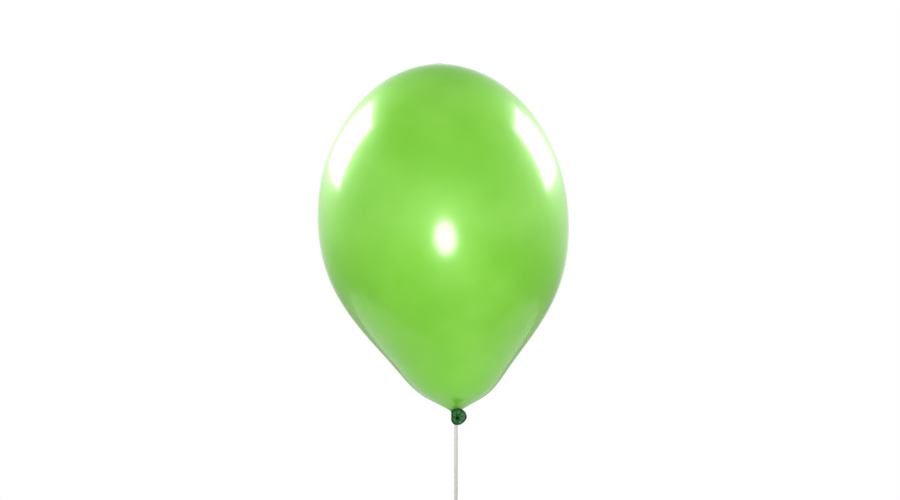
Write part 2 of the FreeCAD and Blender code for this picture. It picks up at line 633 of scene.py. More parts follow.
@dataclass
class Skin:
    """The inflated latex from the knot to the crown."""

    finish: Dressing
    diameter: float = 300 * MM
    height: float = 415 * MM
    wall: float = 0.3 * MM
    lean: float = math.radians(2.5)
    lean_start: float = 4 * MM
    cone: float = math.radians(28)
    bow: float = 4.6 * MM
    bow_shape: Pair = (1.5, 2.0)
    around: int = 168
    flare_rows: int = 16
    body_rows: int = 136
    row_crowding: float = 1.3
    pleats: int = 19
    pleat_depth: float = 0.42 * MM
    pleat_reach: float = 4.5 * MM
    pleat_reaches: Wave = Wave(0.35, 3, -0.471)
    pleat_depths: tuple[Wave, ...] = (Wave(0.5, 2, -0.971), Wave(0.3, 5, -QUARTER_TURN))
    pleat_swerve: Wave = Wave(1.3, 2, -QUARTER_TURN)
    crimp: float = 0.5
    crimp_swerve: Wave = Wave(2.1, 3, QUARTER_TURN)
    cone_pleats: Pair = (-1.5 * MM, 1.5 * MM)
    cone_pleat_share: float = 0.5
    cone_pleat_rise: float = 0.8
    throat_radius: float = 3.7 * MM
    throat_height: float = -2.4 * MM
    tuck_inset: float = 0.09 * MM
    tuck_depth: float = 0.55 * MM
    tuck_way: Pair = (0.08, 1.0)
    collar_low: float = -7.4 * MM
    collar_overlap: float = 0.5 * MM
    collar_rows: int = 26
    collar_gap: float = 0.02 * MM
    collar_taper: float = 0.55 * MM
    collar_rim: float = 0.15 * MM
    skin_bend: Pair = (-0.6 * MM, 4.0 * MM)
    neck_bend: Pair = (-7.8 * MM, -3.0 * MM)
    outline: Sequence[Pair] = (
        (0.037, 0.0016), (0.150, 0.0235), (0.265, 0.0480), (0.445, 0.1200),
        (0.690, 0.2300), (0.905, 0.3600), (1.000, 0.5500), (0.926, 0.7180),
        (0.742, 0.8480), (0.395, 0.9620), (0.000, 1.0000),
    )

    def __post_init__(self) -> None:
        """Work out the outline's curves, above and below the edge of the cone."""
        points = [(r * self.diameter / 2, z * self.height) for r, z in self.outline]
        cone_way = (math.cos(self.cone), math.sin(self.cone))
        self.profile = clamped_spline(points, cone_way, (-1, 0))
        throat = (self.throat_radius, self.throat_height)
        tuck = (self.throat_radius - self.tuck_inset, self.throat_height - self.tuck_depth)
        self.flare = clamped_spline([tuck, throat, points[0]], self.tuck_way, cone_way)

    def pleating(self, radius: Array, angle: Array) -> Array:
        """Depth of the gathers that run out from the throat.

        Args:
            radius: Distance from the balloon's own axis.
            angle: Angle round that axis.

        Returns:
            How far the skin moves out, in metres.
        """
        beyond = np.maximum(radius - self.throat_radius, 0)
        fade = np.exp(-beyond / (self.pleat_reach * (1 + self.pleat_reaches.at(angle))))
        uneven = 1 + together(self.pleat_depths, angle)
        coarse = Wave(1.0, self.pleats).at(angle, self.pleat_swerve.at(angle))
        fine = Wave(self.crimp, 2 * self.pleats).at(angle, self.crimp_swerve.at(angle))
        return self.pleat_depth * fade * uneven * (coarse + fine)

    def rings(self, outline: Array) -> Array:
        """Rings round the leaning, slightly bowed axis.

        Args:
            outline: Radius and height of each ring.

        Returns:
            Points by ring, then round each ring.
        """
        angle = ring_angles(self.around)
        radius, height = outline[:, :1], outline[:, 1:]
        depth = self.pleating(radius, angle[None])
        share = np.clip(height / self.height, 0, 1)
        climb, fall = self.bow_shape
        peak = climb ** climb * fall ** fall / (climb + fall) ** (climb + fall)
        shift = -self.bow * share ** climb * (1 - share) ** fall / peak
        low, high = self.cone_pleats
        on_cone = np.clip((height - low) / (high - low), 0, 1)
        wide = radius + (1 - self.cone_pleat_share * on_cone) * depth
        z = height - self.cone_pleat_rise * on_cone * depth
        leaning = np.clip(z / self.lean_start, 0, 1) * z
        x = wide * np.cos(angle) + shift - leaning * math.sin(self.lean)
        return np.stack([x, wide * np.sin(angle), z + leaning * (math.cos(self.lean) - 1)], axis=-1)

    def wall_outline(self, inset: float) -> Array:
        """The skin's outline from the throat to the crown, moved in along its normal.

        Args:
            inset: How far inside the outer face it lies.

        Returns:
            Radius and height of each ring.
        """
        nudge = 1e-4
        low = np.linspace(nudge, 1 - nudge, self.flare_rows)
        high = np.linspace(0, 1, self.body_rows) ** self.row_crowding
        high[0], high[-1] = nudge, 1 - nudge
        places = np.concatenate([self.flare(low), self.profile(high)])
        ways = unit(np.concatenate([
            self.flare(low + nudge) - self.flare(low - nudge),
            self.profile(high + nudge) - self.profile(high - nudge),
        ]))
        return places + inset * np.stack([-ways[:, 1], ways[:, 0]], axis=1)

    def envelope(self) -> Piece:
        """Build the hollow skin in one piece, outer face and inner face."""
        outer = self.rings(self.wall_outline(0.0))
        inner = self.rings(self.wall_outline(self.wall))[::-1]
        crown = np.stack([outer[-1].mean(axis=0), inner[0].mean(axis=0)])
        rows, around = len(outer), self.around
        points = np.concatenate([outer.reshape(-1, 3), inner.reshape(-1, 3), crown])
        middle = 2 * rows * around
        faces = bands(2 * rows, around, loop=True, gap=rows - 1)
        faces += fan(middle, (rows - 1) * around, around)
        faces += fan(middle + 1, rows * around, around, facing_down=True)
        piece = self.finish.on(piece_from("envelope_skin", points, faces), "envelope")
        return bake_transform(piece)

    def neck_collar(self) -> Piece:
        """Build the gathered tube between the knot and the throat."""
        height = np.linspace(self.collar_low, self.throat_height + self.collar_overlap, self.collar_rows)
        share = (height - height[0]) / (height[-1] - height[0])
        inset = self.collar_gap + self.collar_taper * (1 - share) ** 3 + self.collar_rim * share ** 8
        outline = np.stack([self.throat_radius - inset, height], axis=1)
        piece = self.finish.on(skin_over_rings("neck_collar", self.rings(outline)), "neck")
        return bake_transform(piece)

    def build(self) -> None:
        """Build the skin and the collar under it."""
        self.envelope()
        self.neck_collar()


# ---------------------------------------------------------------- knot, stem and mouth


@dataclass(frozen=True)
class StemLine:
    """The axis of the stem that comes forward out of the knot."""

    height: float = -6.4 * MM
    yaw: float = math.radians(13)

    def way(self) -> Array:
        """Direction of the stem, away from the knot."""
        return np.array([math.sin(self.yaw), -math.cos(self.yaw), 0.0])

    def side(self) -> Array:
        """Direction across the stem, towards +X."""
        return np.array([math.cos(self.yaw), math.sin(self.yaw), 0.0])

    def at(self, place: Any, side: Any = 0.0, rise: Any = 0.0) -> Array:
        """Points by distance along the stem, sideways and up.

        Args:
            place: Distance in front of the knot's middle.
            side: Distance across, towards +X.
            rise: Distance above the axis.

        Returns:
            Points in the balloon's frame.
        """
        place, side, rise = np.broadcast_arrays(*map(np.asarray, (place, side, rise)))
        up = (self.height + rise)[..., None] * UP
        return up + place[..., None] * self.way() + side[..., None] * self.side()


def lip_latex() -> ThickLatex:
    """The lip's finish, darker and smoother than the knot's."""
    # The second colour is the painted light on the lip's fold ridges.
    return ThickLatex("lip_latex", tint("04330A"), tint("0C4A14"), crease=0.08 * MM, gloss=0.08)


def mouth_latex(line: StemLine) -> ThickLatex:
    """The funnel's finish, with painted shade darkest where its folds meet."""
    # Point of the painted shade, deep in the funnel's throat.
    hollow = tuple(line.at(place=16.2 * MM, side=-1.6 * MM, rise=-1.0 * MM))
    return ThickLatex("mouth_latex", hollow_shade_point=hollow, gloss=0.12)


@dataclass
class Knot:
    """The neck wrapped once round itself."""

    finish: Dressing
    line: StemLine
    coil_radius: float = 3.05 * MM
    coil_thickness: float = 4.6 * MM
    coil_shift: float = 0.8 * MM
    coil_height: float = -7.9 * MM
    coil_width: Wave = Wave(0.25 * MM, 2)
    coil_depth: Wave = Wave(0.20 * MM, 3, -QUARTER_TURN)
    coil_tilt: Wave = Wave(0.75 * MM, 1, -0.871)
    coil_swell: Wave = Wave(0.06, 2, 1.0)
    core_radius: float = 2.9 * MM
    core_top: float = -5.0 * MM
    core_length: float = 6.3 * MM
    core_point: float = 0.9
    core_sway: tuple[Wave, Wave] = (Wave(0.7 * MM, 3, -QUARTER_TURN), Wave(0.5 * MM, 4, -QUARTER_TURN))
    bridge_reach: Pair = (2.0 * MM, 7.3 * MM)
    bridge_radii: Pair = (3.80 * MM, 2.31 * MM)
    coil_steps: int = 48
    core_steps: int = 16
    bridge_steps: int = 14
    tube_around: int = 28
    tube_start: Point = (0.31, 0.17, 0.93)
    softening: float = 0.5
    soften_passes: int = 3
    voxel: float = 0.28 * MM
    crease_depth: float = 0.14 * MM
    crease_pitch: float = 0.55 * MM
    creases: int = 9
    wrinkle: float = 0.5
    wrinkle_rate: float = 2.3
    wrinkle_swerve: Wave = Wave(4.0, 1, -QUARTER_TURN)
    seat_height: float = -4.4 * MM
    seat_radius: float = 5.6 * MM
    seat_edge: float = 1.3 * MM
    seat_press: float = 0.72

    def tube(self, name: str, path: Array, radius: Array, loop: bool = False) -> Piece:
        """Round tube along a path, for merging.

        Args:
            name: A working name.
            path: Its centreline.
            radius: Its radius at each point.
            loop: Whether it closes on itself.

        Returns:
            The tube.
        """
        ways = ways_along(path, loop)
        first = unit(np.cross(ways, self.tube_start))
        second = np.cross(ways, first)
        angle = ring_angles(self.tube_around)[None, :, None]
        rings = path[:, None] + radius[:, None, None] * (
            first[:, None] * np.cos(angle) + second[:, None] * np.sin(angle)
        )
        return skin_over_rings(name, rings, loop=loop)

    def coil(self) -> Piece:
        """The turn of neck that goes round the core."""
        turn = ring_angles(self.coil_steps)
        path = np.stack([
            self.coil_shift + (self.coil_radius + self.coil_width.at(turn)) * np.cos(turn),
            (self.coil_radius + self.coil_depth.at(turn)) * np.sin(turn),
            self.coil_height + self.coil_tilt.at(turn),
        ], axis=1)
        swell = 1 - self.coil_swell.height + self.coil_swell.at(turn)
        return self.tube("coil", path, self.coil_thickness / 2 * swell, loop=True)

    def core(self) -> Piece:
        """The neck's own stub, which the coil grips."""
        drop = np.linspace(0, 1, self.core_steps)
        aside, forward = (sway.at(drop) for sway in self.core_sway)
        path = np.stack([aside, forward, self.core_top - self.core_length * drop], axis=1)
        return self.tube("core", path, self.core_radius * np.sqrt(1 - self.core_point * drop ** 5))

    def bridge(self) -> Piece:
        """The neck's way out of the coil to the stem."""
        path = self.line.at(np.linspace(*self.bridge_reach, self.bridge_steps))
        return self.tube("bridge", path, np.linspace(*np.sqrt(self.bridge_radii), self.bridge_steps) ** 2)

    def build(self) -> Piece:
        """Build the knot as one merged, creased lump."""
        knot = joined([self.coil(), self.core(), self.bridge()])
        knot.name = knot.data.name = "knot_coil"
        self.merge(knot)
        self.crease(knot.data)
        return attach(self.finish.on(knot, "knot"), Body.KNOT.value)

    def merge(self, knot: Piece) -> None:
        """Melt the tubes into one smooth surface.

        Args:
            knot: The joined tubes, changed in place.
        """
        remesh = knot.modifiers.new("merge", "REMESH")
        remesh.mode = "VOXEL"
        remesh.voxel_size = self.voxel
        smooth = knot.modifiers.new("soften", "SMOOTH")
        smooth.factor, smooth.iterations = self.softening, self.soften_passes
        graph = bpy.context.evaluated_depsgraph_get()
        mesh = bpy.data.meshes.new_from_object(knot.evaluated_get(graph))
        knot.modifiers.clear()
        knot.data = mesh
        mesh.name = knot.name

    def crease(self, mesh: bpy.types.Mesh) -> None:
        """Crease the surface along the turns, and press a seat into it for the neck.

        Args:
            mesh: The merged surface, changed in place.
        """
        places, normals = np.zeros((2, len(mesh.vertices) * 3))
        mesh.vertices.foreach_get("co", places)
        mesh.vertices.foreach_get("normal", normals)
        places, normals = places.reshape(-1, 3), normals.reshape(-1, 3)
        angle = np.arctan2(places[:, 1], places[:, 0])
        spiral = self.creases * angle + places[:, 2] / self.crease_pitch
        wrinkles = Wave(self.wrinkle, self.wrinkle_rate).at(spiral, self.wrinkle_swerve.at(angle))
        depth = np.maximum(np.cos(spiral), 0) ** 3 + wrinkles
        places -= normals * (self.crease_depth * depth)[:, None]
        inside = self.seat_radius - np.hypot(places[:, 0], places[:, 1])
        under = np.clip(inside / self.seat_edge, 0, 1)
        proud = np.maximum(places[:, 2] - self.seat_height, 0)
        places[:, 2] -= self.seat_press * under ** 2 * (3 - 2 * under) * proud
        mesh.vertices.foreach_set("co", places.ravel())
        mesh.polygons.foreach_set("use_smooth", [True] * len(mesh.polygons))
        mesh.update()


@dataclass
class Stem:
    """The creased sleeve from the knot, through the tie, to the tail's root."""

    finish: Dressing
    line: StemLine
    start: float = 4.9 * MM
    end: float = 15.2 * MM
    rows: int = 50
    around: int = 72
    radius: float = 2.75 * MM
    waist: Hump = Hump(1.0, 8.6 * MM, 1.9 * MM)
    waist_depth: float = 0.42 * MM
    swell: Hump = Hump(0.32 * MM, 13.4 * MM, 2.2 * MM)
    knot_edge: float = 6.4 * MM
    tail_edge: float = 12.5 * MM
    edge_fade: float = 1.5 * MM
    knot_tuck: float = 0.9 * MM
    tail_tuck: float = 0.5 * MM
    fold_depth: float = 0.10 * MM
    fold_base: float = 0.6
    folds: tuple[Wave, ...] = (Wave(1.0, 9), Wave(0.5, 16))
    fold_twists: tuple[float, ...] = (0.55 / MM, -0.40 / MM)
    bend: Pair = (11.6 * MM, 14.8 * MM)

    def build(self) -> Piece:
        """Build the sleeve."""
        angle = ring_angles(self.around)[None]
        place = np.linspace(self.start, self.end, self.rows)[:, None]
        waist = self.waist.at(place)
        in_knot = np.clip((self.knot_edge - place) / self.edge_fade, 0, 1)
        in_tail = np.clip((place - self.tail_edge) / self.edge_fade, 0, 1)
        radius = self.radius - self.waist_depth * waist + self.swell.at(place)
        radius = radius - self.knot_tuck * in_knot ** 2 - self.tail_tuck * in_tail
        folds = twisted(self.folds, self.fold_twists, angle, place)
        radius = radius - self.fold_depth * (self.fold_base + waist) * folds
        rings = self.line.at(place, radius * np.cos(angle), radius * np.sin(angle))
        piece = self.finish.on(skin_over_rings("stem_sleeve", rings), "stem")
        start, end = (tuple(self.line.at(place)) for place in self.bend)
        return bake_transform(piece)


@dataclass(frozen=True)
class FunnelFace:
    """One face of the flared tail, from its root to the lip."""

    root: float
    root_radius: float
    inset: float
    fold_depth: float
    drift: float


@dataclass
class Mouth:
    """The flared tail and its rolled lip."""

    inside: Dressing
    rim: Dressing
    line: StemLine
    outer: FunnelFace = FunnelFace(12.3 * MM, 2.78 * MM, 0.1 * MM, 0.28 * MM, 0.0)
    inner: FunnelFace = FunnelFace(15.9 * MM, 0.45 * MM, 0.5 * MM, 0.7 * MM, 1.0)
    plane: float = 19.8 * MM
    around: int = 160
    outer_rows: int = 32
    inner_rows: int = 44
    row_crowding: float = 1.2
    flare_power: float = 1.9
    reach_power: float = 0.7
    root_swell: float = 0.55 * MM
    root_swell_share: float = 0.625
    folds: tuple[Wave, ...] = (Wave(1.0, 6), Wave(0.6, 11, 1.1))
    fold_twists: tuple[float, ...] = (2.2, -1.5)
    buckle: Wave = Wave(0.9, 5, -0.571)
    throat_spot: Pair = (-1.7 * MM, -1.0 * MM)
    throat_power: float = 1.3
    ripples: tuple[Wave, ...] = (Wave(0.45 * MM, 2, 0.5), Wave(0.30 * MM, 3, 2.0))
    lip_thickness: float = 1.75 * MM
    lip_around: int = 220
    roll_around: int = 36
    lip_folds: tuple[Hump, ...] = (Hump(0.75, 1.8, 0.45), Hump(0.3, 3.2, 0.4))
    lip_waves: tuple[Wave, ...] = (Wave(0.10, 5, 0.4), Wave(0.06, 9))
    roll_seams: tuple[Hump, ...] = (Hump(0.16, 2.5, 0.22), Hump(0.096, 4.1, 0.16))
    rim_points: Sequence[Pair] = (
        (9.8, 1.6), (8.3, 5.8), (5.5, 8.4), (0.6, 10.3), (-5.6, 9.3), (-8.9, 6.2), (-9.0, 0.9),
        (-8.8, -4.3), (-6.6, -7.9), (-2.6, -9.1), (2.6, -8.0), (6.4, -5.3), (8.7, -2.3),
    )
    rim_steps: int = 256
    rim_waves: float = 9.0

    def rim_radius(self, angle: Array) -> Array:
        """Distance from the mouth's middle to the middle of its roll, pressed flat on one side.

        Args:
            angle: Angle round the mouth.

        Returns:
            The radius at each angle, with the corners between the rim's points smoothed away.
        """
        points = np.array(self.rim_points) * MM
        bearings = np.arctan2(points[:, 1], points[:, 0])
        radii = np.hypot(points[:, 0], points[:, 1]) - self.lip_thickness / 2
        steps = ring_angles(self.rim_steps)
        waves = np.fft.rfft(np.interp(steps, bearings, radii, period=FULL_TURN))
        waves *= np.exp(-((np.arange(len(waves)) / self.rim_waves) ** 2))
        return np.interp(angle, steps, np.fft.irfft(waves), period=FULL_TURN)

    def face(self, shares: Array, side: FunnelFace) -> Array:
        """Rings of one face.

        Args:
            shares: How far each ring is on its way from the root to the lip.
            side: Which face it is.

        Returns:
            Points by ring, then round each ring.
        """
        share = shares[:, None]
        angle = ring_angles(self.around)[None]
        depth = side.fold_depth * np.sin(math.pi * share) * share ** side.drift
        swell = self.root_swell * np.sin(math.pi * np.clip(share / self.root_swell_share, 0, 1))
        widening = self.rim_radius(angle) - side.inset - side.root_radius
        radius = side.root_radius + widening * share ** self.flare_power + swell * (1 - side.drift)
        radius = radius + depth * twisted(self.folds, self.fold_twists, angle, share)
        place = side.root + (self.plane - side.root) * share ** self.reach_power
        place = place + together(self.ripples, angle) * share + depth * self.buckle.at(angle, share)
        away = side.drift * (1 - share) ** self.throat_power
        return self.line.at(
            place, radius * np.cos(angle) + away * self.throat_spot[0],
            radius * np.sin(angle) + away * self.throat_spot[1],
        )

    def funnel(self) -> Piece:
        """Build the flared tail: outer face, edge under the lip, and folded inner face."""
        outer = self.face(np.linspace(0, 1, self.outer_rows), self.outer)
        inner = self.face(np.linspace(1, 0, self.inner_rows) ** self.row_crowding, self.inner)
        piece = self.inside.on(skin_over_rings("mouth_funnel", np.concatenate([outer, inner])), "tail")
        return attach(piece, Body.TAIL.value)

    def lip(self) -> Piece:
        """Build the rolled rim, with the seam where the roll ends."""
        angle = ring_angles(self.lip_around)[:, None]
        roll = ring_angles(self.roll_around)[None]
        uneven = together(self.lip_waves, angle) + together(self.lip_folds, angle)
        thick = self.lip_thickness / 2 * (1 + uneven) * (1 - together(self.roll_seams, roll))
        radius = self.rim_radius(angle) + thick * np.cos(roll)
        place = self.plane + together(self.ripples, angle) + thick * np.sin(roll)
        rings = self.line.at(place, radius * np.cos(angle), radius * np.sin(angle))
        piece = self.rim.on(skin_over_rings("rolled_lip", rings, loop=True), "lip")
        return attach(piece, Body.TAIL.value)

    def build(self) -> None:
        """Build the funnel and lip."""
        self.funnel()
        self.lip()


# ---------------------------------------------------------------- ribbon


@dataclass
class RibbonStock:
    """Flat ribbon that strips are cut from."""

    finish: Dressing
    width: float = 4.8 * MM
    thickness: float = 0.16 * MM
    crown: float = 0.22 * MM
    rib: Wave = Wave(0.02 * MM, RIBS)
    columns: int = 45

    def strip(self, name: str, path: Array, across: Array, width: Any, loop: bool = False) -> Piece:
        """Sweep the ribbon's ribbed section along a path.

        Args:
            name: The piece's name.
            path: Points down the ribbon's middle.
            across: Direction of its width at each point.
            width: The width at each point, less than the ribbon's own where it is bunched.
            loop: Whether it closes on itself.

        Returns:
            The new strip.
        """
        wide = np.broadcast_to(width, len(path))[:, None, None]
        ways = ways_along(path, loop)
        across = unit(across - (across * ways).sum(axis=1, keepdims=True) * ways)
        face = np.cross(ways, across)
        share = np.linspace(-0.5, 0.5, self.columns)
        arch = self.crown * (1 - 4 * share ** 2) + self.rib.at(FULL_TURN * share)
        top = np.stack([share, arch + self.thickness / 2], axis=1)
        under = np.stack([share, arch - self.thickness / 2], axis=1)[::-1]
        section = np.concatenate([top, under])
        rings = (
            path[:, None]
            + across[:, None] * section[None, :, :1] * wide
            + face[:, None] * section[None, :, 1:]
        )
        piece = skin_over_rings(name, rings, loop=loop)
        self.mark_across(piece, section[:, 0], len(path))
        return piece

    def mark_across(self, piece: Piece, shares: Array, rows: int) -> None:
        """Store how far across the ribbon each point is, for the ribs of its finish.

        Args:
            piece: The strip.
            shares: Places across the section, -0.5 to 0.5.
            rows: Number of sections.
        """
        values = np.zeros(len(piece.data.vertices))
        values[:rows * len(shares)] = np.tile(shares, rows)
        layer = piece.data.attributes.new("across", "FLOAT", "POINT")
        layer.data.foreach_set("value", values.astype(np.float32))

    def gathered(self, share: Array, at_start: float, at_end: float, fade: float = 0.03) -> Array:
        """Width along a length that is bunched at both ends."""
        share = share[:, 0]
        return self.width * (1 - at_start * np.exp(-share / fade) - at_end * np.exp(-(1 - share) / fade))


@dataclass
class RibbonKnot:
    """A knot pulled tight: puckered ribbon with two bands drawn across it. Shares are of its size."""

    stock: RibbonStock
    line: StemLine
    size: float
    puckers: tuple[Wave, ...] = (Wave(0.07, 9), Wave(0.05, 16))
    pucker_twists: tuple[float, ...] = (2.0, 0.0)
    core_width: float = 0.60
    core_taper: float = 0.06
    core_edge: float = 0.14
    core_belly: float = 0.24
    core_reach: float = 0.86
    core_rows: int = 26
    core_around: int = 56
    band_radii: Pair = (0.80, 0.44)
    band_tilts: Pair = (0.42, -0.50)
    band_lift: float = 0.16 * MM
    band_weave: Wave = Wave(0.10, 2, -QUARTER_TURN)
    band_width: float = 0.78
    band_flutter: Wave = Wave(0.12, 2, -QUARTER_TURN)
    band_steps: int = 96

    def core(self, name: str, centre: Array) -> Piece:
        """The puckered ribbon inside the bands.

        Args:
            name: The piece's name.
            centre: Middle of the knot.

        Returns:
            The core.
        """
        rise = np.linspace(-1, 1, self.core_rows)[:, None]
        angle = ring_angles(self.core_around)[None]
        pucker = 1 + twisted(self.puckers, self.pucker_twists, angle, rise)
        wide = self.size * (self.core_width - self.core_taper * rise ** 2) * pucker
        deep = self.size * (self.core_edge + self.core_belly * (1 - rise ** 2)) * pucker
        height = self.core_reach * self.size * rise * np.ones_like(angle)
        return skin_over_rings(name, (
            centre + (wide * np.cos(angle))[..., None] * self.line.side()
            + (deep * np.sin(angle))[..., None] * self.line.way() + height[..., None] * UP
        ))

    def band(self, name: str, centre: Array, tilt: float, lift: float) -> Piece:
        """One turn of ribbon round the core.

        Args:
            name: A working name.
            centre: Middle of the knot.
            tilt: How far it slopes, as a share of the size.
            lift: How far outside the other band it lies.

        Returns:
            The band.
        """
        turn = ring_angles(self.band_steps)[:, None]
        wide, deep = (share * self.size + lift for share in self.band_radii)
        path = (
            centre + wide * np.cos(turn) * self.line.side() + deep * np.sin(turn) * self.line.way()
            + self.size * (tilt * np.cos(turn) + self.band_weave.at(turn)) * UP
        )
        across = np.cross(ways_along(path, True), unit(path - centre))
        width = self.size * (self.band_width + self.band_flutter.at(turn[:, 0], tilt))
        return self.stock.strip(name, path, across, width, loop=True)

    def build(self, name: str, centre: Array) -> Piece:
        """Build the knot.

        Args:
            name: The piece's name.
            centre: Its middle.

        Returns:
            The knot, its core and bands joined.
        """
        parts = [self.core(name, centre)]
        for tilt, lift in zip(self.band_tilts, (0.0, self.band_lift)):
            parts.append(self.band(name, centre, tilt, lift))
        return joined(parts)


@dataclass
class RibbonTie:
    """The turns round the stem, their knot and the cut end."""

    stock: RibbonStock
    line: StemLine
    place: float = 8.6 * MM
    turns: float = 3.0
    turn_steps: int = 190
    inner_radius: float = 2.88 * MM
    build_up: float = 0.5 * MM
    sway: float = 0.42 * MM
    sway_rate: float = 0.77
    sway_start: float = 0.4
    skew: float = 0.12
    bunching: float = 0.50
    flutter: float = 0.07
    flutter_rate: float = 1.7
    knot_size: float = 2.2 * MM
    knot_side: float = -0.8 * MM
    knot_drop: float = 4.8 * MM
    tag_angle: float = math.radians(70)
    tag_swing: float = 0.12
    tag_start: float = 3.2 * MM
    tag_length: float = 6.3 * MM
    tag_advance: float = 0.4 * MM
    tag_curl: float = 0.5 * MM
    tag_widths: Pair = (0.55, 0.95)
    tag_opening: float = 0.6
    tag_steps: int = 30

    def knot_centre(self) -> Array:
        """Middle of the knot that holds the turns."""
        return self.line.at(self.place, self.knot_side, -self.knot_drop)

    def wraps(self) -> Piece:
        """Build the turns, each outside the last and a little askew."""
        turn = np.linspace(0, FULL_TURN * self.turns, self.turn_steps) - QUARTER_TURN
        radius = self.inner_radius + self.build_up * np.linspace(0, 1, len(turn))
        sway = self.sway * np.sin(turn * self.sway_rate + self.sway_start)
        path = self.line.at(self.place + sway, radius * np.cos(turn), radius * np.sin(turn))
        across = self.line.way() + self.skew * np.sin(turn)[:, None] * self.line.side()
        width = self.stock.width * (self.bunching + self.flutter * np.sin(self.flutter_rate * turn))
        piece = self.stock.strip("ribbon_wraps", path, across, width)
        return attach(self.stock.finish.on(piece, "ribbon_turns"), Body.TIE.value)

    def tag(self) -> Piece:
        """Build the cut end, which curls a little on its way out."""
        share = np.linspace(0, 1, self.tag_steps)
        arch = np.sin(math.pi * share)
        reach = self.tag_start + self.tag_length * share
        angle = self.tag_angle - self.tag_swing * arch
        curl = self.tag_advance + self.tag_curl * arch
        path = self.line.at(self.place + curl, reach * np.sin(angle), -reach * np.cos(angle))
        across = math.cos(self.tag_angle) * self.line.side() + math.sin(self.tag_angle) * UP
        narrow, open_width = self.tag_widths
        width = self.stock.width * (narrow + (open_width - narrow) * share ** self.tag_opening)
        piece = self.stock.strip("ribbon_tag", path, np.tile(across, (len(path), 1)), width)
        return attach(self.stock.finish.on(piece, "ribbon_tag_end"), Body.TIE.value)

    def build(self) -> None:
        """Build the turns, knot and cut end."""
        self.wraps()
        self.tag()
        knot = RibbonKnot(self.stock, self.line, self.knot_size).build("ribbon_tie_knot", self.knot_centre())
        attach(self.stock.finish.on(knot, "ribbon_knot"), Body.TIE.value)


@dataclass
class RibbonRun:
    """The straight, taut run and the hand loop at its end."""

    stock: RibbonStock
    line: StemLine
    tie: RibbonTie
    setback: float = 0.4 * MM
    drop: float = 1.2 * MM
    end_height: float = -118 * MM
    twist: float = math.radians(-16)
    bend: float = 2.4 * MM
    gathers: Pair = (0.45, 0.40)
    knot_size: float = 3.1 * MM
    loop_start: float = 1.5 * MM
    loop_length: float = 62 * MM
    loop_width: float = 40 * MM
    loop_widest: float = 0.62
    loop_way: Pair = (0.5, -1.0)
    loop_offset: float = 0.9 * MM
    loop_roll: float = 0.22
    loop_roll_start: float = 0.5
    loop_gathers: Pair = (0.45, 0.45)
    loop_steps: int = 60

    def top(self) -> Array:
        """Where the run leaves the tie's knot."""
        return self.tie.knot_centre() - self.setback * self.line.way() - self.drop * UP

    def end(self) -> Array:
        """Middle of the loop's knot."""
        top = self.top()
        return np.array([top[0], top[1], self.end_height])

    def route(self) -> Array:
        """Points down the run, read from its spline."""
        top, end = self.top(), self.end()
        curve = bpy.data.curves.new("ribbon_route", "CURVE")
        curve.dimensions = "3D"
        curve.resolution_u = 48
        spline = curve.splines.new("NURBS")
        points = [top, top + (end - top) / 2, end]
        spline.points.add(len(points) - 1)
        for point, place in zip(spline.points, points):
            point.co = (*place, 1.0)
        spline.order_u = 3
        spline.use_endpoint_u = True
        holder = bpy.data.objects.new("ribbon_route", curve)
        mesh = bpy.data.meshes.new_from_object(holder)
        line = np.array([v.co for v in mesh.vertices])
        bpy.data.meshes.remove(mesh)
        bpy.data.objects.remove(holder)
        bpy.data.curves.remove(curve)
        return line

    def run(self) -> Piece:
        """Returns:
            The run.
        """
        path = self.route()
        share = np.linspace(0, 1, len(path))[:, None]
        twist = self.twist * share
        across = np.cos(twist) * self.line.side() + np.sin(twist) * self.line.way()
        piece = self.stock.strip("ribbon_run", path, across, self.stock.gathered(share, *self.gathers))
        self.stock.finish.on(piece, "ribbon")
        start = self.tie.knot_centre()
        end = start - self.bend * UP
        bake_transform(piece)
        length = float(np.linalg.norm(self.end() - self.top()))
        tuple(self.top())
        return piece

    def hand_loop(self) -> Piece:
        """Build the drop-shaped loop of ribbon."""
        half, widest = self.loop_width / 2, -self.loop_widest * self.loop_length
        corners = [(0.0, -self.loop_start), (half, widest), (0.0, -self.loop_length)]
        side = clamped_spline(corners, self.loop_way, (-1.0, 0.0))(np.linspace(0, 1, self.loop_steps))
        flat = np.concatenate([side, side[::-1][1:] * (-1, 1)])
        share = np.linspace(0, 1, len(flat))[:, None]
        path = self.end() + flat[:, :1] * self.line.side() + flat[:, 1:] * UP
        path = path + self.loop_offset * np.cos(math.pi * share) * self.line.way()
        roll = self.loop_roll * np.sin(FULL_TURN * share + self.loop_roll_start)
        across = roll * self.line.side() - self.line.way()
        width = self.stock.gathered(share, *self.loop_gathers)
        piece = self.stock.strip("hand_loop_band", path, across, width)
        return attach(self.stock.finish.on(piece, "hand_loop"), Body.RIBBON.value)

    def build(self) -> None:
        """Build the loop, its knot and the run."""
        loop = self.hand_loop()
        knot = RibbonKnot(self.stock, self.line, self.knot_size).build("hand_loop_knot", self.end())
        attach(self.stock.finish.on(knot, "loop_knot"), Body.RIBBON.value)
        self.run()


# ---------------------------------------------------------------- studio


@dataclass(frozen=True)
class Softbox:
    """A studio light, its roll in degrees. One that isn't mirrored adds light without a highlight."""

    name: str
    place: Point
    aim: Point
    size: Pair
    radiance: float
    shape: LightShape = LightShape.OBLONG
    roll: float = 0.0
    mirrored: bool = True

    def build(self) -> Piece:
        """Hang the light and point it."""
        light = bpy.data.lights.new(self.name, "AREA")
        light.shape = self.shape.value
        light.size, light.size_y = self.size
        light.energy = self.radiance * self.size[0] * self.size[1] * math.pi
        lamp = bpy.data.objects.new(self.name, light)
        lamp.location = self.place
        lamp.visible_glossy = self.mirrored
        way = Vector(self.aim) - Vector(self.place)
        turn = way.to_track_quat("-Z", "Y") @ Quaternion((0, 0, 1), math.radians(self.roll))
        lamp.rotation_euler = turn.to_euler()
        bpy.context.scene.collection.objects.link(lamp)
        return lamp


